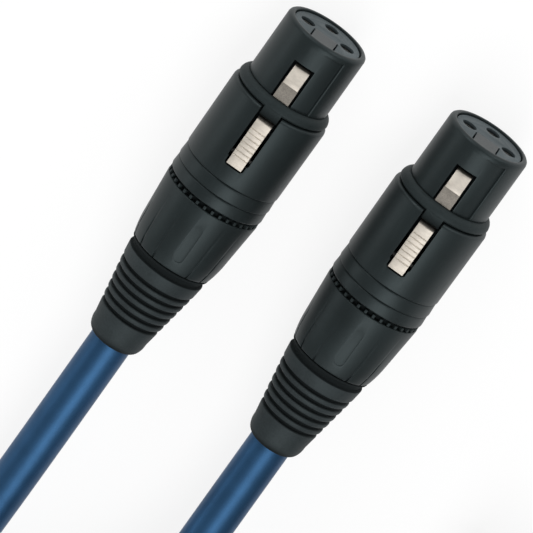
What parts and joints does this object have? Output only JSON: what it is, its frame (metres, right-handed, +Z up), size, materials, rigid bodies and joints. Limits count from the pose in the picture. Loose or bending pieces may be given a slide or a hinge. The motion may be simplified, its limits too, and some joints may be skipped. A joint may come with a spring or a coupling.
{
  "type": "coiled audio cable pair",
  "caption": "Balanced audio cables wound into one tied coil, with latching socket connectors at one end and pin plug connectors at the other.",
  "frame": {"origin": "on the surface, midway between the two socket connectors and midway along them", "axes": "+Z up, +Y from the sockets' noses towards their cables, +X to the left connector of the picture"},
  "size_m": [0.1008, 0.2273, 0.0527],
  "materials": {
    "black_housing": "satin black",
    "black_trim": "matte black",
    "insert_plastic": "matte dark grey",
    "silvered_contact": "silver-plated brass",
    "nickel_latch": "nickel, finely brushed",
    "plain_steel": "plain",
    "chuck_plastic": "dark grey",
    "bushing_plastic": "satin black",
    "boot_rubber": "matte black",
    "blue_jacket": "satin metallic blue",
    "wire_insulation": "plain",
    "tie_fabric": "hook-and-loop tape"
  },
  "bodies": {
    "cables": {"left_socket_nose_shell": "black_housing", "left_socket_shoulder_ring": "black_trim", "left_socket_body_sleeve": "black_housing", "left_socket_insert": "insert_plastic", "left_socket_contacts": "silvered_contact", "left_socket_latch_pin": "plain_steel", "left_socket_latch_spring": "plain_steel", "left_socket_ground_strip": "plain_steel", "left_socket_anti_turn_ring": "black_trim", "left_socket_clamp_chuck": "chuck_plastic", "left_socket_bushing": "bushing_plastic", "left_socket_boot": "boot_rubber", "left_socket_cable_end": "blue_jacket", "left_socket_core_wires": "wire_insulation", "left_plug_shell": "black_housing", "left_plug_insert": "insert_plastic", "left_plug_pins": "silvered_contact", "left_plug_anti_turn_ring": "black_trim", "left_plug_clamp_chuck": "chuck_plastic", "left_plug_bushing": "bushing_plastic", "left_plug_boot": "boot_rubber", "left_plug_cable_end": "blue_jacket", "left_plug_core_wires": "wire_insulation", "left_cable_free": "blue_jacket", "left_cable_coil": "blue_jacket", "left_cable_tail": "blue_jacket", "right_socket_nose_shell": "black_housing", "right_socket_shoulder_ring": "black_trim", "right_socket_body_sleeve": "black_housing", "right_socket_insert": "insert_plastic", "right_socket_contacts": "silvered_contact", "right_socket_latch_pin": "plain_steel", "right_socket_latch_spring": "plain_steel", "right_socket_ground_strip": "plain_steel", "right_socket_anti_turn_ring": "black_trim", "right_socket_clamp_chuck": "chuck_plastic", "right_socket_bushing": "bushing_plastic", "right_socket_boot": "boot_rubber", "right_socket_cable_end": "blue_jacket", "right_socket_core_wires": "wire_insulation", "right_plug_shell": "black_housing", "right_plug_insert": "insert_plastic", "right_plug_pins": "silvered_contact", "right_plug_anti_turn_ring": "black_trim", "right_plug_clamp_chuck": "chuck_plastic", "right_plug_bushing": "bushing_plastic", "right_plug_boot": "boot_rubber", "right_plug_cable_end": "blue_jacket", "right_plug_core_wires": "wire_insulation", "right_cable_free": "blue_jacket", "right_cable_coil": "blue_jacket", "right_cable_tail": "blue_jacket", "near_tie": "tie_fabric", "far_tie": "tie_fabric"},
    "left_latch": {"left_socket_latch": "nickel_latch"},
    "right_latch": {"right_socket_latch": "nickel_latch"}
  },
  "joints": [
    {"name": "left_latch_press", "type": "hinge", "parent": "cables", "child": "left_latch", "pos_m": [0.0166, -0.00826, 0.0157], "axis": [1, 0, 0], "range_deg": [0, 4], "stiffness_Nm_per_rad": 0.05, "springref_deg": -1.72, "deforming": ["left_socket_latch_spring"]},
    {"name": "right_latch_press", "type": "hinge", "parent": "cables", "child": "right_latch", "pos_m": [-0.0166, -0.00993, 0.0157], "axis": [1, 0, 0], "range_deg": [0, 4], "stiffness_Nm_per_rad": 0.05, "springref_deg": -1.72, "deforming": ["right_socket_latch_spring"]}
  ]
}
